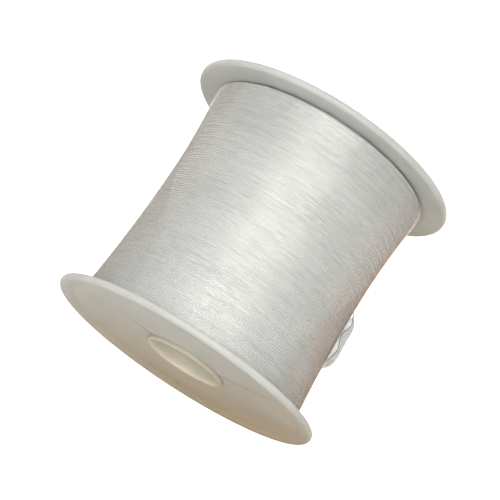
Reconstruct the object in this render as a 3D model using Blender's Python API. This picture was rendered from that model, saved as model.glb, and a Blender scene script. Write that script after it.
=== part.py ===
"""Fishing line spool: a moulded tube with two fitted flanges, wound with clear monofilament.

Units are metres. The spool stands on one flange with its axis along +Z, and the origin is
the centre of the face that it stands on.
"""

import math

import bmesh
import bpy
import numpy as np

# Moulded spool
OVERALL_HEIGHT = 0.055
FLANGE_DIAMETER = 0.060
RIM_THICKNESS = 0.0016
RIM_EDGE_RADIUS = 0.0007
LIP_WIDTH = 0.0018
DISH_RUN = 0.0012
DISH_BLEND = 0.0005
FACE_RECESS = 0.0010
BORE_DIAMETER = 0.016
TUBE_WALL = 0.0009
TUBE_SETBACK = 0.0002
TUBE_EDGE_RADIUS = 0.0004
SHOULDER_STEP = 0.0012
FIT_GAP = 0.0003

# Wound line: its ends lie below the rims, and it is drawn in to a waist between them
LINE_BELOW_RIM = 0.0046
WAIST_DEPTH = 0.0016
WAIST_HEIGHT = 0.022
TURNS = 23
TURN_GAP = 0.00055
POINTS_PER_TURN = 24
BEND_POINTS = 6
PACK_LEVELS = 9

# Clear tape that holds the line's end, with its free end standing off the winding
TAPE_WIDTH = 0.012
TAPE_THICKNESS = 0.0003
TAPE_HEIGHT = 0.0336
TAPE_START_ANGLE = math.radians(92)
TAPE_LIFT_ANGLE = math.radians(158)
TAPE_END_ANGLE = math.radians(190)
TAPE_LIFT = 0.0014
TAPE_LIFT_POWER = 1.5
TAPE_EDGE_POWER = 6
TAPE_LEVELS = 9
TAPE_STEPS = 32

# Facets, and the most of a straight side that one fillet takes
FLANGE_SEGMENTS = 64
TUBE_SEGMENTS = 48
CORNER_STEPS = 3
FILLET_SHARE = 0.49
SHARP_ANGLE = math.radians(35)

flange_radius = FLANGE_DIAMETER / 2
bore_radius = BORE_DIAMETER / 2
spigot_radius = bore_radius + TUBE_WALL
barrel_radius = spigot_radius + SHOULDER_STEP

# The winding fills the space between the flanges' inner faces
winding_bottom = RIM_THICKNESS + FIT_GAP
winding_top = OVERALL_HEIGHT - winding_bottom
turn_pitch = (winding_top - winding_bottom + TURN_GAP) / (TURNS + 1)
turn_diameter = turn_pitch - TURN_GAP
first_turn_height = winding_bottom + turn_diameter / 2
last_turn_height = winding_top - turn_diameter / 2


def material(name, colour, roughness, alpha=1.0):
    made = bpy.data.materials.new(name)
    made.use_nodes = True
    shader = made.node_tree.nodes["Principled BSDF"]
    shader.inputs["Base Color"].default_value = (*colour, 1.0)
    shader.inputs["Roughness"].default_value = roughness
    shader.inputs["Metallic"].default_value = 0.0
    shader.inputs["Alpha"].default_value = alpha
    return made


def add_object(name, data, finish, parent):
    piece = bpy.data.objects.new(name, data)
    bpy.context.scene.collection.objects.link(piece)
    piece.parent = parent
    if not data.materials:
        data.materials.append(finish)
    return piece


def round_corners(corners):
    """The closed outline of (radius, height, fillet) corners, each fillet drawn as an arc."""
    outline = []
    for index, (radius, height, fillet) in enumerate(corners):
        here = np.array((radius, height))
        if fillet == 0:
            outline.append(here)
            continue
        before = np.array(corners[index - 1][:2]) - here
        after = np.array(corners[(index + 1) % len(corners)][:2]) - here
        shorter = min(np.linalg.norm(before), np.linalg.norm(after))
        reach = min(fillet, shorter * FILLET_SHARE)
        start = before / np.linalg.norm(before) * reach
        end = after / np.linalg.norm(after) * reach
        centre = start + end
        for step in range(CORNER_STEPS + 1):
            turn = math.pi / 2 * step / CORNER_STEPS
            outline.append(here + centre - start * math.sin(turn) - end * math.cos(turn))
    return outline


def turned_mesh(name, outline, segments):
    """A closed ring, spun from an outline of (radius, height) points that clears the axis."""
    bm = bmesh.new()
    corners = [bm.verts.new((radius, 0, height)) for radius, height in outline]
    sides = [bm.edges.new((corners[i - 1], corners[i])) for i in range(len(corners))]
    bmesh.ops.spin(
        bm,
        geom=corners + sides,
        cent=(0, 0, 0),
        axis=(0, 0, 1),
        angle=math.tau,
        steps=segments,
        use_merge=True,
    )
    bmesh.ops.recalc_face_normals(bm, faces=bm.faces)
    mesh = bpy.data.meshes.new(name)
    bm.to_mesh(mesh)
    bm.free()
    mesh.shade_smooth()
    mesh.set_sharp_from_angle(angle=SHARP_ANGLE)
    return mesh


def winding_radius(height):
    """Outer radius of the wound line, widest at the flanges and drawn in at the waist."""
    if height < WAIST_HEIGHT:
        reach = WAIST_HEIGHT - winding_bottom
    else:
        reach = winding_top - WAIST_HEIGHT
    share = (height - WAIST_HEIGHT) / reach
    return flange_radius - LINE_BELOW_RIM - WAIST_DEPTH * (1 - share * share)


def turn_centre_radius(height):
    return winding_radius(height) - turn_diameter / 2


def pack_radius(height):
    """The inner layers lie under the flats between the outer layer's points."""
    flat = turn_centre_radius(height) * math.cos(math.pi / POINTS_PER_TURN)
    return flat - turn_diameter / 2 - FIT_GAP


def line_end_radii(height):
    """Where a line end starts, and where its straight run meets the bend into the turn."""
    bend_centre = turn_centre_radius(height) - turn_diameter
    run_top = math.sqrt(bend_centre**2 - turn_diameter**2)
    return run_top - turn_diameter, run_top


# The tube between the flanges: a shoulder at each end seats a flange, and a thin spigot
# goes on through the flange to the outer face
def make_core_tube(finish, parent):
    low_end = TUBE_SETBACK
    high_end = OVERALL_HEIGHT - TUBE_SETBACK
    low_shoulder = RIM_THICKNESS + FIT_GAP
    high_shoulder = OVERALL_HEIGHT - low_shoulder
    outline = round_corners(
        [
            (bore_radius, low_end, TUBE_EDGE_RADIUS),
            (spigot_radius, low_end, TUBE_EDGE_RADIUS),
            (spigot_radius, low_shoulder, 0),
            (barrel_radius, low_shoulder, 0),
            (barrel_radius, high_shoulder, 0),
            (spigot_radius, high_shoulder, 0),
            (spigot_radius, high_end, TUBE_EDGE_RADIUS),
            (bore_radius, high_end, TUBE_EDGE_RADIUS),
        ]
    )
    add_object("core_tube", turned_mesh("core_tube", outline, TUBE_SEGMENTS), finish, parent)


# Two like flanges, each a disc with a rounded rim, a raised lip that it stands on, a face
# that slopes down from the lip to a shallow dish, and a hole that goes over the tube's spigot
def make_flanges(finish, parent):
    hub_radius = spigot_radius + FIT_GAP
    lip_radius = flange_radius - LIP_WIDTH
    outline = round_corners(
        [
            (hub_radius, FACE_RECESS, 0),
            (lip_radius - DISH_RUN, FACE_RECESS, DISH_BLEND),
            (lip_radius, 0, DISH_BLEND),
            (flange_radius, 0, RIM_EDGE_RADIUS),
            (flange_radius, RIM_THICKNESS, RIM_EDGE_RADIUS),
            (hub_radius, RIM_THICKNESS, 0),
        ]
    )
    mesh = turned_mesh("flange", outline, FLANGE_SEGMENTS)
    add_object("bottom_flange", mesh, finish, parent)
    top = add_object("top_flange", mesh, finish, parent)
    top.rotation_euler = (math.pi, 0, 0)
    top.location = (0, 0, OVERALL_HEIGHT)


# The inner layers of line, as one solid: they stop a turn short of each flange, where the
# outer layer's two ends dive in
def make_line_pack(finish, parent):
    inner_radius = barrel_radius + FIT_GAP
    notch_width = turn_diameter + FIT_GAP
    low_floor = line_end_radii(first_turn_height)[0] - FIT_GAP
    high_floor = line_end_radii(last_turn_height)[0] - FIT_GAP
    outline = [
        (inner_radius, winding_bottom),
        (low_floor, winding_bottom),
        (low_floor, winding_bottom + notch_width),
    ]
    for height in np.linspace(winding_bottom + notch_width, winding_top - notch_width, PACK_LEVELS):
        outline.append((pack_radius(height), height))
    outline += [
        (high_floor, winding_top - notch_width),
        (high_floor, winding_top),
        (inner_radius, winding_top),
    ]
    add_object("line_pack", turned_mesh("line_pack", outline, TUBE_SEGMENTS), finish, parent)


def line_end_points(height, turn_way):
    """A line end at angle 0: a straight run out from the pack, then a bend into the turn."""
    run_start, run_top = line_end_radii(height)
    bend_centre = turn_centre_radius(height) - turn_diameter
    run_angle = math.asin(turn_diameter / bend_centre)
    points = [(run_start, run_angle)]
    points += [(run_start + (run_top - run_start) / 2, run_angle)]
    for step in range(BEND_POINTS):
        turn = (math.pi / 2 + run_angle) * (1 - step / BEND_POINTS)
        along = bend_centre + turn_diameter * math.cos(turn)
        aside = turn_diameter * math.sin(turn)
        points.append((math.hypot(along, aside), math.atan2(aside, along)))
    return [(radius, -turn_way * angle, height) for radius, angle in points]


# The outer layer is one unbroken line. Each of its turns stands for about four of the
# real, finer line
def make_line_outer_layer(finish, parent):
    route = line_end_points(first_turn_height, 1)
    steps = TURNS * POINTS_PER_TURN
    for step in range(steps + 1):
        height = first_turn_height + turn_pitch * step / POINTS_PER_TURN
        route.append((turn_centre_radius(height), math.tau * step / POINTS_PER_TURN, height))
    last_end = line_end_points(last_turn_height, -1)
    route += [(radius, angle + math.tau * TURNS, height) for radius, angle, height in last_end[::-1]]
    radii, angles, heights = np.array(route).T
    points = np.stack((radii * np.cos(angles), radii * np.sin(angles), heights), axis=1)

    curve = bpy.data.curves.new("line_outer_layer", "CURVE")
    curve.dimensions = "3D"
    curve.twist_mode = "Z_UP"
    curve.bevel_depth = turn_diameter / 2
    curve.bevel_resolution = 1
    curve.use_fill_caps = True
    spline = curve.splines.new("POLY")
    spline.points.add(len(points) - 1)
    for point, place in zip(spline.points, points):
        point.co = (*place, 1.0)
    spline.use_smooth = True
    add_object("line_outer_layer", curve, finish, parent)
    print(f"line_outer_layer least gap to itself {least_gap(points) * 1000:.2f} mm")


def least_gap(points):
    """Least clear distance between stretches of the line that are half a turn or more apart."""
    starts = points[:-1]
    runs = points[1:] - starts
    least = math.inf
    for index, place in enumerate(points):
        first = index + POINTS_PER_TURN // 2
        if first >= len(starts):
            break
        ahead = starts[first:] - place
        along = runs[first:]
        share = -np.sum(ahead * along, axis=1) / np.sum(along * along, axis=1)
        nearest = ahead + along * np.clip(share, 0, 1)[:, None]
        least = min(least, np.linalg.norm(nearest, axis=1).min())
    return least - turn_diameter


def tape_lift(angle, across):
    """How far the tape stands off the winding: it grows towards the free end, and the two
    long edges, where across is 1 or -1, stay down."""
    share = max(0.0, angle - TAPE_LIFT_ANGLE) / (TAPE_END_ANGLE - TAPE_LIFT_ANGLE)
    return TAPE_LIFT * share**TAPE_LIFT_POWER * (1 - across**TAPE_EDGE_POWER)


# A strip of clear tape lies on the outer layer, and one end has come away from it
def make_end_tape(finish, parent):
    bm = bmesh.new()
    low = TAPE_HEIGHT - TAPE_WIDTH / 2
    strip = []
    for height in np.linspace(low, low + TAPE_WIDTH, TAPE_LEVELS):
        radius = winding_radius(height) + FIT_GAP
        strip.append(bm.verts.new((radius, 0, height)))
    sides = [bm.edges.new(pair) for pair in zip(strip, strip[1:])]
    bmesh.ops.spin(
        bm,
        geom=strip + sides,
        cent=(0, 0, 0),
        axis=(0, 0, 1),
        angle=TAPE_END_ANGLE - TAPE_START_ANGLE,
        steps=TAPE_STEPS,
    )
    for vert in bm.verts:
        angle = math.atan2(vert.co.y, vert.co.x) + TAPE_START_ANGLE
        across = (vert.co.z - TAPE_HEIGHT) / (TAPE_WIDTH / 2)
        radius = math.hypot(vert.co.x, vert.co.y) + tape_lift(angle, across)
        vert.co.x = radius * math.cos(angle)
        vert.co.y = radius * math.sin(angle)
    bmesh.ops.recalc_face_normals(bm, faces=bm.faces)
    mesh = bpy.data.meshes.new("end_tape")
    bm.to_mesh(mesh)
    bm.free()
    mesh.shade_smooth()
    tape = add_object("end_tape", mesh, finish, parent)
    wall = tape.modifiers.new("thickness", "SOLIDIFY")
    wall.thickness = TAPE_THICKNESS
    wall.offset = 1.0
    return tape


for old in list(bpy.data.objects):
    bpy.data.objects.remove(old, do_unlink=True)

spool_axis = bpy.data.objects.new("spool_axis", None)
bpy.context.scene.collection.objects.link(spool_axis)

natural_plastic = material("natural_polypropylene", (0.66, 0.67, 0.63), 0.38)
clear_line = material("clear_nylon_line", (0.70, 0.72, 0.68), 0.18)
clear_tape = material("clear_tape", (0.62, 0.68, 0.72), 0.12, alpha=0.45)

make_core_tube(natural_plastic, spool_axis)
make_flanges(natural_plastic, spool_axis)
make_line_pack(clear_line, spool_axis)
make_line_outer_layer(clear_line, spool_axis)
make_end_tape(clear_tape, spool_axis)
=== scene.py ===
import math
import random

import bmesh
import bpy
from mathutils import Matrix, Vector


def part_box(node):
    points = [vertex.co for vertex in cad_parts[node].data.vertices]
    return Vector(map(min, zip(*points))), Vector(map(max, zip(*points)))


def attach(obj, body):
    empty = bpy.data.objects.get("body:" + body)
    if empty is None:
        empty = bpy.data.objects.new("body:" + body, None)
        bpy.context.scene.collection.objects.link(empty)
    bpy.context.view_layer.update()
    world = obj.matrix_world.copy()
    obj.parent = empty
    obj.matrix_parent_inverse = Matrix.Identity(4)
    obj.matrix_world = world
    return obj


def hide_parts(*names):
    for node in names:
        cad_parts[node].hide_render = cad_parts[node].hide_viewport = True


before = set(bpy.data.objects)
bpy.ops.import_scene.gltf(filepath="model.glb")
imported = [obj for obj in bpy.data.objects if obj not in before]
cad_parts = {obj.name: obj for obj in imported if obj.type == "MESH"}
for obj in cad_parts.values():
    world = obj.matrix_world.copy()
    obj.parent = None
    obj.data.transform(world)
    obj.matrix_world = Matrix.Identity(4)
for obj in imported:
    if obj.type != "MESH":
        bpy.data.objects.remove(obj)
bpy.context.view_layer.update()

# The camera looks at the spool from a little above its upper flange, and is rolled so far
# that the spool's axis runs from the upper right of the picture to the lower left.
IMAGE_SIDE = 500
FOCAL_PIXELS = 1808
camera_place = Vector((0, -0.3605, 0.1237))
camera_aim = Vector((0.0012, 0, 0.0273))
camera_roll = math.radians(-146.9)

camera_data = bpy.data.cameras.new("photo_camera")
camera_data.sensor_width = 36
camera_data.lens = FOCAL_PIXELS * camera_data.sensor_width / IMAGE_SIDE
camera_data.clip_start = 0.01
camera = bpy.data.objects.new("photo_camera", camera_data)
bpy.context.scene.collection.objects.link(camera)
upright = (camera_aim - camera_place).to_track_quat("-Z", "Y").to_matrix().to_4x4()
camera.matrix_world = Matrix.Translation(camera_place) @ upright @ Matrix.Rotation(camera_roll, 4, "Z")
bpy.context.scene.camera = camera


# The tube in the middle is injection moulded in natural polypropylene. Its thin end goes
# through each flange and shows as a narrow ring round the bore for the winder's spindle.
def to_linear(hex_colour):
    channels = [int(hex_colour[i : i + 2], 16) / 255 for i in (1, 3, 5)]
    return [c / 12.92 if c <= 0.04045 else ((c + 0.055) / 1.055) ** 2.4 for c in channels] + [1.0]


def add_node(tree, kind, inputs=None, **settings):
    """Adds a node, sets its properties, and sets or links its inputs."""
    node = tree.nodes.new(kind)
    for name, value in settings.items():
        setattr(node, name, value)
    for socket, value in (inputs or {}).items():
        if isinstance(value, bpy.types.NodeSocket):
            tree.links.new(value, node.inputs[socket])
        else:
            node.inputs[socket].default_value = value
    return node


def new_material(name):
    """A material with an empty node tree and its output node."""
    made = bpy.data.materials.new(name)
    made.use_nodes = True
    made.node_tree.nodes.clear()
    return made, made.node_tree, made.node_tree.nodes.new("ShaderNodeOutputMaterial")


def natural_polypropylene(name, dark, pale, soak, painted_reflection_from):
    """Milky, half see-through moulded plastic: light soaks in, and the skin has a satin sheen with soft
    cloudy patches. The outward faces are tinted tan towards one side, a painted reflection of warm
    surroundings. The bore is painted paler, to stand for the light that comes through the tube's wall, and
    two fine knit lines show on each flange face where the melt met."""
    made, tree, output = new_material(name)
    cloud_size = 0.011
    grain_size = 0.0005
    bore_pale = "#dad6c8"
    # The tan, its way across the spool and its reach below set a painted warm reflection on the outward
    # faces.
    painted_reflection_tan = "#d0b083"
    painted_reflection_way = (-0.5, 0.86, 0)
    painted_reflection_to = 0.03
    knit_shade = "#99948a"
    # Each knit line has its angle round the axis and the radius at which it fades out.
    knit_lines = ((math.radians(-21), 0.017), (math.radians(-146), 0.024))
    knit_start = 0.0095
    knit_width = 0.0013
    place = add_node(tree, "ShaderNodeTexCoord").outputs["Object"]
    clouds = add_node(
        tree,
        "ShaderNodeTexNoise",
        {"Vector": place, "Scale": 1 / cloud_size, "Detail": 3.0, "Roughness": 0.55},
    )
    colour = add_node(
        tree,
        "ShaderNodeMix",
        {0: clouds.outputs["Fac"], 6: to_linear(dark), 7: to_linear(pale)},
        data_type="RGBA",
    )
    flat = add_node(tree, "ShaderNodeVectorMath", {0: place, 1: (1, 1, 0)}, operation="MULTIPLY")
    from_axis = add_node(tree, "ShaderNodeVectorMath", {0: flat.outputs["Vector"]}, operation="LENGTH")
    in_bore = add_node(
        tree,
        "ShaderNodeMapRange",
        {"Value": from_axis.outputs["Value"], "From Min": bore_radius + tube_edge, "From Max": bore_radius},
    )
    colour = add_node(
        tree,
        "ShaderNodeMix",
        {0: in_bore.outputs["Result"], 6: colour.outputs[2], 7: to_linear(bore_pale)},
        data_type="RGBA",
    )
    # Painted reflection: the outward faces are multiplied towards tan on one side, for warm light thrown on
    # them from the surroundings.
    towards = add_node(tree, "ShaderNodeVectorMath", {0: place, 1: painted_reflection_way}, operation="DOT_PRODUCT")
    painted_reflection_share = add_node(
        tree,
        "ShaderNodeMapRange",
        {"Value": towards.outputs["Value"], "From Min": painted_reflection_from, "From Max": painted_reflection_to},
    )
    normal = add_node(tree, "ShaderNodeNewGeometry").outputs["Normal"]
    facing = add_node(tree, "ShaderNodeSeparateXYZ", {"Vector": normal}).outputs["Z"]
    height = add_node(tree, "ShaderNodeSeparateXYZ", {"Vector": place}).outputs["Z"]
    end = add_node(
        tree,
        "ShaderNodeMapRange",
        {"Value": height, "From Min": 0.0, "From Max": spool_height, "To Min": -1.0, "To Max": 1.0},
    )
    outward = add_node(
        tree,
        "ShaderNodeMath",
        {0: facing, 1: end.outputs["Result"]},
        operation="MULTIPLY",
        use_clamp=True,
    )
    painted_reflection_share = add_node(
        tree,
        "ShaderNodeMath",
        {0: painted_reflection_share.outputs["Result"], 1: outward.outputs[0]},
        operation="MULTIPLY",
    )
    colour = add_node(
        tree,
        "ShaderNodeMix",
        {0: painted_reflection_share.outputs[0], 6: colour.outputs[2], 7: to_linear(painted_reflection_tan)},
        data_type="RGBA",
        blend_type="MULTIPLY",
    )
    knit = 0.0
    for angle, knit_reach in knit_lines:
        turned = add_node(
            tree,
            "ShaderNodeMapping",
            {"Vector": place, "Rotation": (0, 0, angle)},
            vector_type="TEXTURE",
        )
        ray = add_node(tree, "ShaderNodeSeparateXYZ", {"Vector": turned.outputs["Vector"]})
        aside = add_node(tree, "ShaderNodeMath", {0: ray.outputs["Y"]}, operation="ABSOLUTE")
        near = add_node(
            tree,
            "ShaderNodeMapRange",
            {"Value": aside.outputs[0], "From Min": knit_width, "From Max": 0.0},
            interpolation_type="SMOOTHSTEP",
        )
        fade = add_node(
            tree,
            "ShaderNodeMapRange",
            {"Value": ray.outputs["X"], "From Min": knit_reach, "From Max": knit_start},
        )
        ahead = add_node(
            tree,
            "ShaderNodeMath",
            {0: ray.outputs["X"], 1: hub_radius},
            operation="GREATER_THAN",
        )
        line = add_node(
            tree,
            "ShaderNodeMath",
            {0: near.outputs["Result"], 1: fade.outputs["Result"]},
            operation="MULTIPLY",
        )
        knit = add_node(
            tree,
            "ShaderNodeMath",
            {0: line.outputs[0], 1: ahead.outputs[0], 2: knit},
            operation="MULTIPLY_ADD",
        ).outputs[0]
    colour = add_node(
        tree,
        "ShaderNodeMix",
        {0: knit, 6: colour.outputs[2], 7: to_linear(knit_shade)},
        data_type="RGBA",
    )
    sheen = add_node(
        tree,
        "ShaderNodeMapRange",
        {"Value": clouds.outputs["Fac"], "From Min": 0.3, "From Max": 0.7, "To Min": 0.34, "To Max": 0.46},
    )
    grain = add_node(tree, "ShaderNodeTexNoise", {"Vector": place, "Scale": 1 / grain_size})
    skin = add_node(
        tree,
        "ShaderNodeBump",
        {"Height": grain.outputs["Fac"], "Strength": 0.06, "Distance": 0.0001},
    )
    skin = add_node(
        tree,
        "ShaderNodeBump",
        {"Height": knit, "Strength": 0.5, "Distance": 0.0003, "Normal": skin.outputs["Normal"]},
        invert=True,
    )
    surface = add_node(
        tree,
        "ShaderNodeBsdfPrincipled",
        {
            "Base Color": colour.outputs[2],
            "Roughness": sheen.outputs["Result"],
            "IOR": 1.49,
            "Subsurface Weight": 0.8,
            "Subsurface Radius": (1.0, 0.95, 0.85),
            "Subsurface Scale": soak,
            "Normal": skin.outputs["Normal"],
        },
    )
    tree.links.new(surface.outputs[0], output.inputs["Surface"])
    return made


def ring_edges(bm, radius, height, tolerance=1e-5):
    """The edges of the ring at that radius and height."""
    found = []
    for edge in bm.edges:
        if all(
            abs(math.hypot(v.co.x, v.co.y) - radius) < tolerance and abs(v.co.z - height) < tolerance
            for v in edge.verts
        ):
            found.append(edge)
    return found


def spin_ring(bm, outline, steps):
    """Spins a closed outline of (radius, height) corners once round the spool's axis."""
    corners = [bm.verts.new((radius, 0, height)) for radius, height in outline]
    sides = [bm.edges.new((corners[i - 1], corners[i])) for i in range(len(corners))]
    bmesh.ops.spin(
        bm,
        geom=corners + sides,
        cent=(0, 0, 0),
        axis=(0, 0, 1),
        angle=math.tau,
        steps=steps,
        use_merge=True,
    )


def round_ring(bm, radius, height, width, segments):
    """Rounds the ring edge at that radius and height."""
    bmesh.ops.bevel(
        bm,
        geom=ring_edges(bm, radius, height),
        offset=width,
        segments=segments,
        profile=0.5,
        affect="EDGES",
        material=-1,
    )


def finish_piece(name, bm, material, replaced):
    """Makes the piece's object, smooth shaded, riding on the spool in place of its CAD nodes."""
    bmesh.ops.recalc_face_normals(bm, faces=bm.faces)
    mesh = bpy.data.meshes.new(name)
    bm.to_mesh(mesh)
    bm.free()
    mesh.shade_smooth()
    mesh.set_sharp_from_angle(angle=math.radians(40))
    mesh.materials.append(material)
    piece = bpy.data.objects.new(name, mesh)
    bpy.context.scene.collection.objects.link(piece)
    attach(piece, "root")
    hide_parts(*replaced)
    return piece


tube_low, tube_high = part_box("core_tube")
flange_low, flange_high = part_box("bottom_flange")
spool_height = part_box("top_flange")[1].z
rim_thickness = flange_high.z
flange_radius = flange_high.x
barrel_radius = tube_high.x
tube_wall = 0.0009
bore_radius = 0.008
spigot_radius = bore_radius + tube_wall
press_fit = 0.00002
hub_radius = spigot_radius + press_fit
fit_gap = 0.0003
shoulder = rim_thickness + fit_gap
tube_edge = 0.0004

tube_plastic = natural_polypropylene("polypropylene_tube", "#bbb8ad", "#c3c0b5", 0.0015, -0.03)
bm = bmesh.new()
spin_ring(
    bm,
    [
        (bore_radius, tube_low.z),
        (spigot_radius, tube_low.z),
        (spigot_radius, shoulder),
        (barrel_radius, shoulder),
        (barrel_radius, spool_height - shoulder),
        (spigot_radius, spool_height - shoulder),
        (spigot_radius, tube_high.z),
        (bore_radius, tube_high.z),
    ],
    steps=128,
)
for end in (tube_low.z, tube_high.z):
    round_ring(bm, bore_radius, end, tube_edge, 4)
    round_ring(bm, spigot_radius, end, tube_edge, 4)
finish_piece("tube", bm, tube_plastic, ["core_tube"])


# Each flange is a moulded disc of the same plastic. Its rim is rounded, stands a little proud
# as a lip and thins towards its inner edge. The face slopes down from the lip to a shallow
# dish, and the hole is pressed over the tube's end.
lip_width = 0.0018
dish_run = 0.0012
dish_blend = 0.0006
face_recess = 0.001
rim_edge = 0.0007
inner_edge = 0.0006
inner_run = 0.0018
inner_fall = 0.0002
inner_blend = 0.0008
lip_radius = flange_radius - lip_width
flange_plastic = natural_polypropylene("polypropylene_flange", "#a8aba9", "#c8cbc9", 0.002, -0.019)


def make_flange(name, node, turned_over):
    bm = bmesh.new()
    spin_ring(
        bm,
        [
            (hub_radius, face_recess),
            (lip_radius - dish_run, face_recess),
            (lip_radius, 0),
            (flange_radius, 0),
            (flange_radius, rim_thickness - inner_fall),
            (flange_radius - inner_run, rim_thickness),
            (hub_radius, rim_thickness),
        ],
        steps=192,
    )
    round_ring(bm, flange_radius, 0, rim_edge, 5)
    round_ring(bm, flange_radius, rim_thickness - inner_fall, inner_edge, 5)
    round_ring(bm, flange_radius - inner_run, rim_thickness, inner_blend, 5)
    round_ring(bm, lip_radius, 0, dish_blend, 5)
    round_ring(bm, lip_radius - dish_run, face_recess, dish_blend, 5)
    if turned_over:
        bmesh.ops.rotate(bm, verts=bm.verts, cent=(0, 0, 0), matrix=Matrix.Rotation(math.pi, 3, "X"))
        bmesh.ops.translate(bm, verts=bm.verts, vec=(0, 0, spool_height))
    finish_piece(name, bm, flange_plastic, [node])


make_flange("lower_flange", "bottom_flange", False)
make_flange("upper_flange", "top_flange", True)


# The line is drawn nylon, clear and about half a millimetre thick. The inner layers are
# packed tight round the tube and are seen only as a pale body behind the outer turns.
line_diameter = 0.00052
waist_depth = 0.0016
waist_height = 0.022
end_gap = 0.00008
winding_low = rim_thickness + end_gap
winding_high = spool_height - rim_thickness - end_gap
line_below_rim = 0.0046
end_radius = flange_radius - line_below_rim
end_drop = 0.0003
droop_run = 0.0016


def winding_radius(height):
    """Outer radius of the wound line, drawn in to a waist between the flanges."""
    reach = waist_height - winding_low if height < waist_height else winding_high - waist_height
    share = (height - waist_height) / reach
    return end_radius - waist_depth * (1 - share * share)


def end_droop(height):
    """How far the winding falls away at its two ends, where the last turns slip down."""
    from_end = min(height - winding_low, winding_high - height) / droop_run
    return end_drop * max(0.0, 1 - from_end) ** 2


def strand_pattern(tree, turn_band, round_band):
    """Noise drawn out round the spool, as long and as wide as a run of turns that lie alike."""
    place = add_node(tree, "ShaderNodeTexCoord").outputs["Object"]
    stretched = add_node(
        tree,
        "ShaderNodeMapping",
        {"Vector": place, "Scale": (1 / round_band, 1 / round_band, 1 / turn_band)},
    )
    noise = add_node(
        tree,
        "ShaderNodeTexNoise",
        {"Vector": stretched.outputs["Vector"], "Scale": 1.0, "Detail": 2.0},
    )
    return noise.outputs["Fac"]


def packed_nylon():
    """Many layers of clear line seen together: their countless surfaces throw the light back,
    partly as a mirror does, so the pack is a pale white with a band of gloss that runs across
    the turns and breaks up into fine strands."""
    made, tree, output = new_material("packed_nylon_line")
    strands = strand_pattern(tree, turn_band=0.0006, round_band=0.01)
    colour = add_node(
        tree,
        "ShaderNodeMix",
        {0: strands, 6: to_linear("#8b8d86"), 7: to_linear("#a4a69f")},
        data_type="RGBA",
    )
    beds = add_node(
        tree,
        "ShaderNodeBump",
        {"Height": strands, "Strength": 1.0, "Distance": 0.0018},
    )
    gloss = add_node(
        tree,
        "ShaderNodeMapRange",
        {"Value": strands, "From Min": 0.3, "From Max": 0.7, "To Min": 0.74, "To Max": 0.26},
    )
    along_turns = add_node(tree, "ShaderNodeTangent", direction_type="RADIAL", axis="Z")
    surface = add_node(
        tree,
        "ShaderNodeBsdfPrincipled",
        {
            "Base Color": colour.outputs[2],
            "Metallic": 0.53,
            "Roughness": gloss.outputs["Result"],
            "IOR": 1.53,
            "Anisotropic": 0.95,
            "Anisotropic Rotation": 0.25,
            "Tangent": along_turns.outputs["Tangent"],
            "Normal": beds.outputs["Normal"],
        },
    )
    tree.links.new(surface.outputs[0], output.inputs["Surface"])
    return made


def clear_nylon():
    """Drawn nylon monofilament: clear, with a hard bright gloss along each turn."""
    made, tree, output = new_material("clear_nylon_line")
    strands = strand_pattern(tree, turn_band=0.0008, round_band=0.012)
    gloss = add_node(
        tree,
        "ShaderNodeMapRange",
        {"Value": strands, "From Min": 0.3, "From Max": 0.7, "To Min": 0.06, "To Max": 0.18},
    )
    surface = add_node(
        tree,
        "ShaderNodeBsdfPrincipled",
        {
            "Base Color": to_linear("#ffffff"),
            "Roughness": gloss.outputs["Result"],
            "IOR": 1.42,
            "Transmission Weight": 0.85,
        },
    )
    tree.links.new(surface.outputs[0], output.inputs["Surface"])
    return made


clear_line = clear_nylon()
outer_layer_depth = 1.3 * line_diameter
levels = 48
bm = bmesh.new()
outline = [(barrel_radius + fit_gap, winding_high), (barrel_radius + fit_gap, winding_low)]
for level in range(levels + 1):
    height = winding_low + (winding_high - winding_low) * level / levels
    outline.append((winding_radius(height) - end_droop(height) - outer_layer_depth, height))
spin_ring(bm, outline, steps=96)
finish_piece("inner_layers", bm, packed_nylon(), ["line_pack"])


# The outer turns are one unbroken line laid side by side by a winding machine from flange
# to flange, with slight waves where the turns bed into those below. A few have slipped over
# their neighbours since.
POINTS_PER_TURN = 72


def line_mesh(name, route, diameter):
    """A round line along a route, as a mesh."""
    curve = bpy.data.curves.new(name, "CURVE")
    curve.dimensions = "3D"
    curve.twist_mode = "Z_UP"
    curve.bevel_depth = diameter / 2
    curve.bevel_resolution = 2
    curve.use_fill_caps = True
    spline = curve.splines.new("POLY")
    spline.points.add(len(route) - 1)
    for point, spot in zip(spline.points, route):
        point.co = (*spot, 1.0)
    spline.use_smooth = True
    holder = bpy.data.objects.new(name, curve)
    bpy.context.scene.collection.objects.link(holder)
    shown = holder.evaluated_get(bpy.context.evaluated_depsgraph_get())
    bm = bmesh.new()
    bm.from_mesh(shown.to_mesh())
    shown.to_mesh_clear()
    bpy.data.objects.remove(holder)
    bpy.data.curves.remove(curve)
    return bm


turn_pitch = 1.06 * line_diameter
top_turn = winding_high - line_diameter / 2
low_turn = winding_low + line_diameter / 2
turn_count = int((top_turn - low_turn) / turn_pitch)
layer_depth = 0.66 * line_diameter
groove_rise = 0.87 * line_diameter
lay_wave = 0.14 * line_diameter
lay_ripple = 0.08 * line_diameter
bed_depth = 0.045 * line_diameter

# Each slip has its place and its half length, counted in turns, and the side that it goes to,
# as a share of the line's diameter.
slip_count = 5
front_slip = (59.61, 0.05, 0.5)
slip_draw = random.Random(11)
slips = [
    (
        slip_draw.randrange(2, turn_count - 2) + slip_draw.uniform(0.08, 0.42),
        slip_draw.uniform(0.05, 0.08),
        slip_draw.choice((-0.5, 0.5)),
    )
    for _ in range(slip_count)
]
slips.append(front_slip)


def slip_at(turn):
    """How far a turn has slipped over its neighbour here: a share of the way, and to which side."""
    for centre, half_length, side in slips:
        if abs(turn - centre) < half_length:
            share = 0.5 + 0.5 * math.cos(math.pi * (turn - centre) / half_length)
            return share, side
    return 0.0, 0.0


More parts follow.
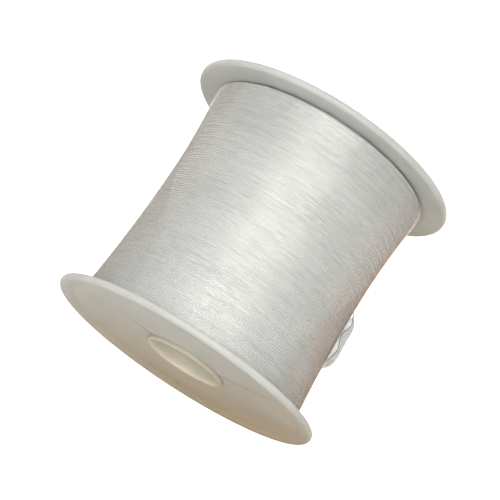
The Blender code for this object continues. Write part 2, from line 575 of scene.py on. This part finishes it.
route = []
for step in range(turn_count * POINTS_PER_TURN + 1):
    turn = step / POINTS_PER_TURN
    angle = math.tau * turn
    share, side = slip_at(turn)
    wave = lay_wave * math.sin(2 * angle + turn * 0.23) + lay_ripple * math.sin(5 * angle - turn * 0.17)
    height = top_turn - turn_pitch * turn + wave + side * share * line_diameter
    height = min(max(height, low_turn), top_turn)
    bed = bed_depth * math.sin(turn * 2.4 + math.sin(angle * 3 + turn * 0.1) * 0.9)
    radius = winding_radius(height) - end_droop(height) - layer_depth + bed + groove_rise * share
    route.append((radius * math.cos(angle), radius * math.sin(angle), height))

# At the lower flange the line leaves the last turn and crosses the winding to the tape.
run_turns = math.radians(125) / math.tau
run_end_height = 0.0318
run_rise = 1.16 * line_diameter
run_steps = int(run_turns * POINTS_PER_TURN)


def last_run(share):
    """Angle, height and stand-off of the line's last run, from the last turn to its end."""
    eased = share * share * (3 - 2 * share)
    stand_off = run_rise * min(1.0, 4 * share)
    return share * run_turns * math.tau, low_turn + (run_end_height - low_turn) * eased, stand_off


for step in range(1, run_steps + 1):
    angle, height, stand_off = last_run(step / run_steps)
    radius = winding_radius(height) - end_droop(height) - layer_depth + stand_off
    route.append((radius * math.cos(angle), radius * math.sin(angle), height))
turns = finish_piece(
    "outer_turns",
    line_mesh("outer_turns", route, line_diameter),
    clear_line,
    ["line_outer_layer"],
)
# Clear line passes nearly all the light on to the layers below, so it casts no shadow.
turns.visible_shadow = False

# A strip of clear adhesive tape holds the line's end. One end of the strip has come away
# from the turns: it bows out past them, and its cut edge waves and touches them once.
tape_width = 0.012
tape_thickness = 0.00008
tape_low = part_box("end_tape")[0].z
tape_start = math.radians(92)
bow_from = math.radians(150)
bow_top = math.radians(180)
tape_end = math.radians(191)
tape_bow = 0.0016
edge_lift = 0.0008
edge_touch = 0.44
tape_clear = 0.00012
ridge_width = 0.0007


def tape_film():
    """Thin clear film: mostly see-through, with a cool grey tint and a hard gloss. Along its cut edge,
    painted shade shows as a fine dark grey line."""
    made, tree, output = new_material("clear_tape_film")
    streak_size = 0.0008
    place = add_node(tree, "ShaderNodeTexCoord").outputs["Object"]
    stretched = add_node(
        tree,
        "ShaderNodeMapping",
        {"Vector": place, "Scale": (0.1 / streak_size, 0.1 / streak_size, 1 / streak_size)},
    )
    streaks = add_node(tree, "ShaderNodeTexNoise", {"Vector": stretched.outputs["Vector"], "Scale": 1.0})
    cover = add_node(
        tree,
        "ShaderNodeMapRange",
        {"Value": streaks.outputs["Fac"], "To Min": 0.24, "To Max": 0.44},
    )
    # Painted shade: the cut edge is drawn as a fine dark grey line, nearly opaque.
    painted_edge_shade = add_node(tree, "ShaderNodeAttribute", attribute_name="cut_edge").outputs["Fac"]
    colour = add_node(
        tree,
        "ShaderNodeMix",
        {0: painted_edge_shade, 6: to_linear("#b6c1c5"), 7: to_linear("#6c6b65")},
        data_type="RGBA",
    )
    cover = add_node(
        tree,
        "ShaderNodeMath",
        {0: cover.outputs["Result"], 1: painted_edge_shade},
        operation="MAXIMUM",
    )
    surface = add_node(
        tree,
        "ShaderNodeBsdfPrincipled",
        {
            "Base Color": colour.outputs[2],
            "Roughness": 0.1,
            "IOR": 1.5,
            "Alpha": cover.outputs[0],
        },
    )
    tree.links.new(surface.outputs[0], output.inputs["Surface"])
    return made


def tape_stand_off(angle, share):
    """How far the strip stands off the turns at an angle and at a share of its width."""
    rise = min(1.0, max(0.0, angle - bow_from) / (bow_top - bow_from))
    fall = max(0.0, angle - bow_top) / (tape_end - bow_top)
    bow = tape_bow * rise * rise * (3 - 2 * rise) * (1 - (2 * share - 1) ** 6)
    lobe = share / edge_touch if share < edge_touch else (share - edge_touch) / (1 - edge_touch)
    edge = edge_lift * math.sin(math.pi * lobe) ** 2
    return bow + (edge - bow) * fall * fall


bm = bmesh.new()
tape_levels = 30
tape_steps = 96
edge_points = []
for level in range(tape_levels + 1):
    height = tape_low + tape_width * level / tape_levels
    edge_points.append(bm.verts.new((winding_radius(height) + tape_clear, 0, height)))
edge_sides = [bm.edges.new(pair) for pair in zip(edge_points, edge_points[1:])]
bmesh.ops.spin(
    bm,
    geom=edge_points + edge_sides,
    cent=(0, 0, 0),
    axis=(0, 0, 1),
    angle=tape_end - tape_start,
    steps=tape_steps,
)
cut_edge = bm.verts.layers.float.new("cut_edge")
for vert in bm.verts:
    angle = math.atan2(vert.co.y, vert.co.x) + tape_start
    share = (vert.co.z - tape_low) / tape_width
    vert[cut_edge] = 1.0 if angle > tape_end - 1e-4 else 0.0
    run_angle, run_height, _ = last_run(min(1.0, angle / (run_turns * math.tau)))
    past_end = (angle - run_angle) * winding_radius(run_height)
    ridge = math.hypot(vert.co.z - run_height, past_end) / ridge_width
    stand_off = max(tape_stand_off(angle, share), line_diameter * math.exp(-ridge * ridge))
    radius = math.hypot(vert.co.x, vert.co.y) + stand_off
    vert.co.x = radius * math.cos(angle)
    vert.co.y = radius * math.sin(angle)
bmesh.ops.recalc_face_normals(bm, faces=bm.faces)
bmesh.ops.solidify(bm, geom=bm.faces, thickness=tape_thickness)
finish_piece("end_strip", bm, tape_film(), ["end_tape"])


# Stage: a plain white floor that keeps the spool's soft shadow. It glows a little to the eye,
# in reflections and through the clear line, so that it stays white there.
floor_reach = 6
floor_glow = 0.7


def white_floor():
    made, tree, output = new_material("white_floor")
    path = add_node(tree, "ShaderNodeLightPath")
    seen = add_node(
        tree,
        "ShaderNodeMath",
        {0: path.outputs["Is Camera Ray"], 1: path.outputs["Is Glossy Ray"]},
        operation="MAXIMUM",
    )
    seen = add_node(
        tree,
        "ShaderNodeMath",
        {0: seen.outputs[0], 1: path.outputs["Is Transmission Ray"]},
        operation="MAXIMUM",
    )
    glow = add_node(tree, "ShaderNodeMath", {0: seen.outputs[0], 1: floor_glow}, operation="MULTIPLY")
    surface = add_node(
        tree,
        "ShaderNodeBsdfPrincipled",
        {
            "Base Color": to_linear("#f2f2f0"),
            "Roughness": 0.9,
            "Specular IOR Level": 0.0,
            "Emission Color": (1, 1, 1, 1),
            "Emission Strength": glow.outputs[0],
        },
    )
    tree.links.new(surface.outputs[0], output.inputs["Surface"])
    return made


bm = bmesh.new()
bmesh.ops.create_grid(bm, x_segments=1, y_segments=1, size=floor_reach)
floor_mesh = bpy.data.meshes.new("floor")
bm.to_mesh(floor_mesh)
bm.free()
floor_mesh.materials.append(white_floor())
floor = bpy.data.objects.new("floor", floor_mesh)
bpy.context.scene.collection.objects.link(floor)


# Light: a wide softbox behind the camera gives the broad band of gloss along the winding, a
# low one lights the space between the flanges, and a pale room fills in the sides.
def softbox(name, place, aim, width, height, watts, colour):
    data = bpy.data.lights.new(name, "AREA")
    data.shape = "RECTANGLE"
    data.size = width
    data.size_y = height
    data.energy = watts
    data.color = to_linear(colour)[:3]
    lamp = bpy.data.objects.new(name, data)
    bpy.context.scene.collection.objects.link(lamp)
    aimed = (Vector(aim) - Vector(place)).to_track_quat("-Z", "Y").to_matrix().to_4x4()
    lamp.matrix_world = Matrix.Translation(place) @ aimed
    return lamp


middle = (0, 0, spool_height / 2)
softbox("key_softbox", (-0.02, -0.75, 0.14), middle, 0.66, 0.36, 3.75, "#ffffff")
softbox("low_fill", (0.25, -0.6, 0.06), (0, 0, 0), 0.3, 0.1, 0.6, "#ffffff")

# Two low curved cards stand beside and behind the spool, one pale and one tan. They show only
# as warm reflections down the two sides of the winding.
card_radius = 0.062
card_height = 0.05
card_steps = 16
card_pale = "#c8b9a8"
card_tan = "#b88458"
card_arcs = ((math.radians(-5), math.radians(62)), (math.radians(114), math.radians(186)))


def warm_card():
    made, tree, output = new_material("warm_card")
    place = add_node(tree, "ShaderNodeTexCoord").outputs["Object"]
    across = add_node(tree, "ShaderNodeSeparateXYZ", {"Vector": place}).outputs["X"]
    share = add_node(
        tree,
        "ShaderNodeMapRange",
        {"Value": across, "From Min": 0.0, "From Max": -card_radius / 2},
    )
    colour = add_node(
        tree,
        "ShaderNodeMix",
        {0: share.outputs["Result"], 6: to_linear(card_pale), 7: to_linear(card_tan)},
        data_type="RGBA",
    )
    surface = add_node(tree, "ShaderNodeBsdfDiffuse", {"Color": colour.outputs[2]})
    tree.links.new(surface.outputs[0], output.inputs["Surface"])
    return made


bm = bmesh.new()
for card_from, card_to in card_arcs:
    card_side = [bm.verts.new((card_radius, 0, height)) for height in (0, card_height)]
    card_edge = bm.edges.new(card_side)
    bmesh.ops.rotate(bm, verts=card_side, cent=(0, 0, 0), matrix=Matrix.Rotation(card_from, 3, "Z"))
    bmesh.ops.spin(
        bm,
        geom=[*card_side, card_edge],
        cent=(0, 0, 0),
        axis=(0, 0, 1),
        angle=card_to - card_from,
        steps=card_steps,
    )
card_mesh = bpy.data.meshes.new("warm_card")
bm.to_mesh(card_mesh)
bm.free()
card_mesh.materials.append(warm_card())
card = bpy.data.objects.new("warm_card", card_mesh)
bpy.context.scene.collection.objects.link(card)
card.visible_camera = False
card.visible_diffuse = False
card.visible_shadow = False

# The room has pale walls, dimmer on one side, a warm stretch behind the spool and a bright
# ceiling.
warm_way = (-0.34, 0.94, 0)
dim_way = (-1, 0, 0)
wall_pale = "#e6e7e5"
wall_dim = "#c0beba"
warm_wall = (1.02, 0.88, 0.7, 1.0)
ceiling = (1.85, 1.78, 1.65, 1.0)
room_strength = 0.57
world = bpy.data.worlds.new("pale_room")
world.use_nodes = True
bpy.context.scene.world = world
tree = world.node_tree
sky = add_node(tree, "ShaderNodeTexCoord").outputs["Generated"]
towards_warm = add_node(tree, "ShaderNodeVectorMath", {0: sky, 1: warm_way}, operation="DOT_PRODUCT")
warm_share = add_node(
    tree,
    "ShaderNodeMapRange",
    {"Value": towards_warm.outputs["Value"], "From Min": 0.2, "From Max": 0.5},
    interpolation_type="SMOOTHSTEP",
)
towards_dim = add_node(tree, "ShaderNodeVectorMath", {0: sky, 1: dim_way}, operation="DOT_PRODUCT")
dim_share = add_node(tree, "ShaderNodeMapRange", {"Value": towards_dim.outputs["Value"], "From Min": -0.6})
walls = add_node(
    tree,
    "ShaderNodeMix",
    {0: dim_share.outputs["Result"], 6: to_linear(wall_pale), 7: to_linear(wall_dim)},
    data_type="RGBA",
)
room = add_node(
    tree,
    "ShaderNodeMix",
    {0: warm_share.outputs["Result"], 6: walls.outputs[2], 7: warm_wall},
    data_type="RGBA",
)
upward = add_node(tree, "ShaderNodeSeparateXYZ", {"Vector": sky})
ceiling_share = add_node(
    tree,
    "ShaderNodeMapRange",
    {"Value": upward.outputs["Z"], "From Min": 0.35, "From Max": 0.8},
    interpolation_type="SMOOTHSTEP",
)
room = add_node(
    tree,
    "ShaderNodeMix",
    {0: ceiling_share.outputs["Result"], 6: room.outputs[2], 7: ceiling},
    data_type="RGBA",
)
background = tree.nodes["Background"]
tree.links.new(room.outputs[2], background.inputs["Color"])
background.inputs["Strength"].default_value = room_strength

bpy.context.scene.view_settings.view_transform = "Standard"
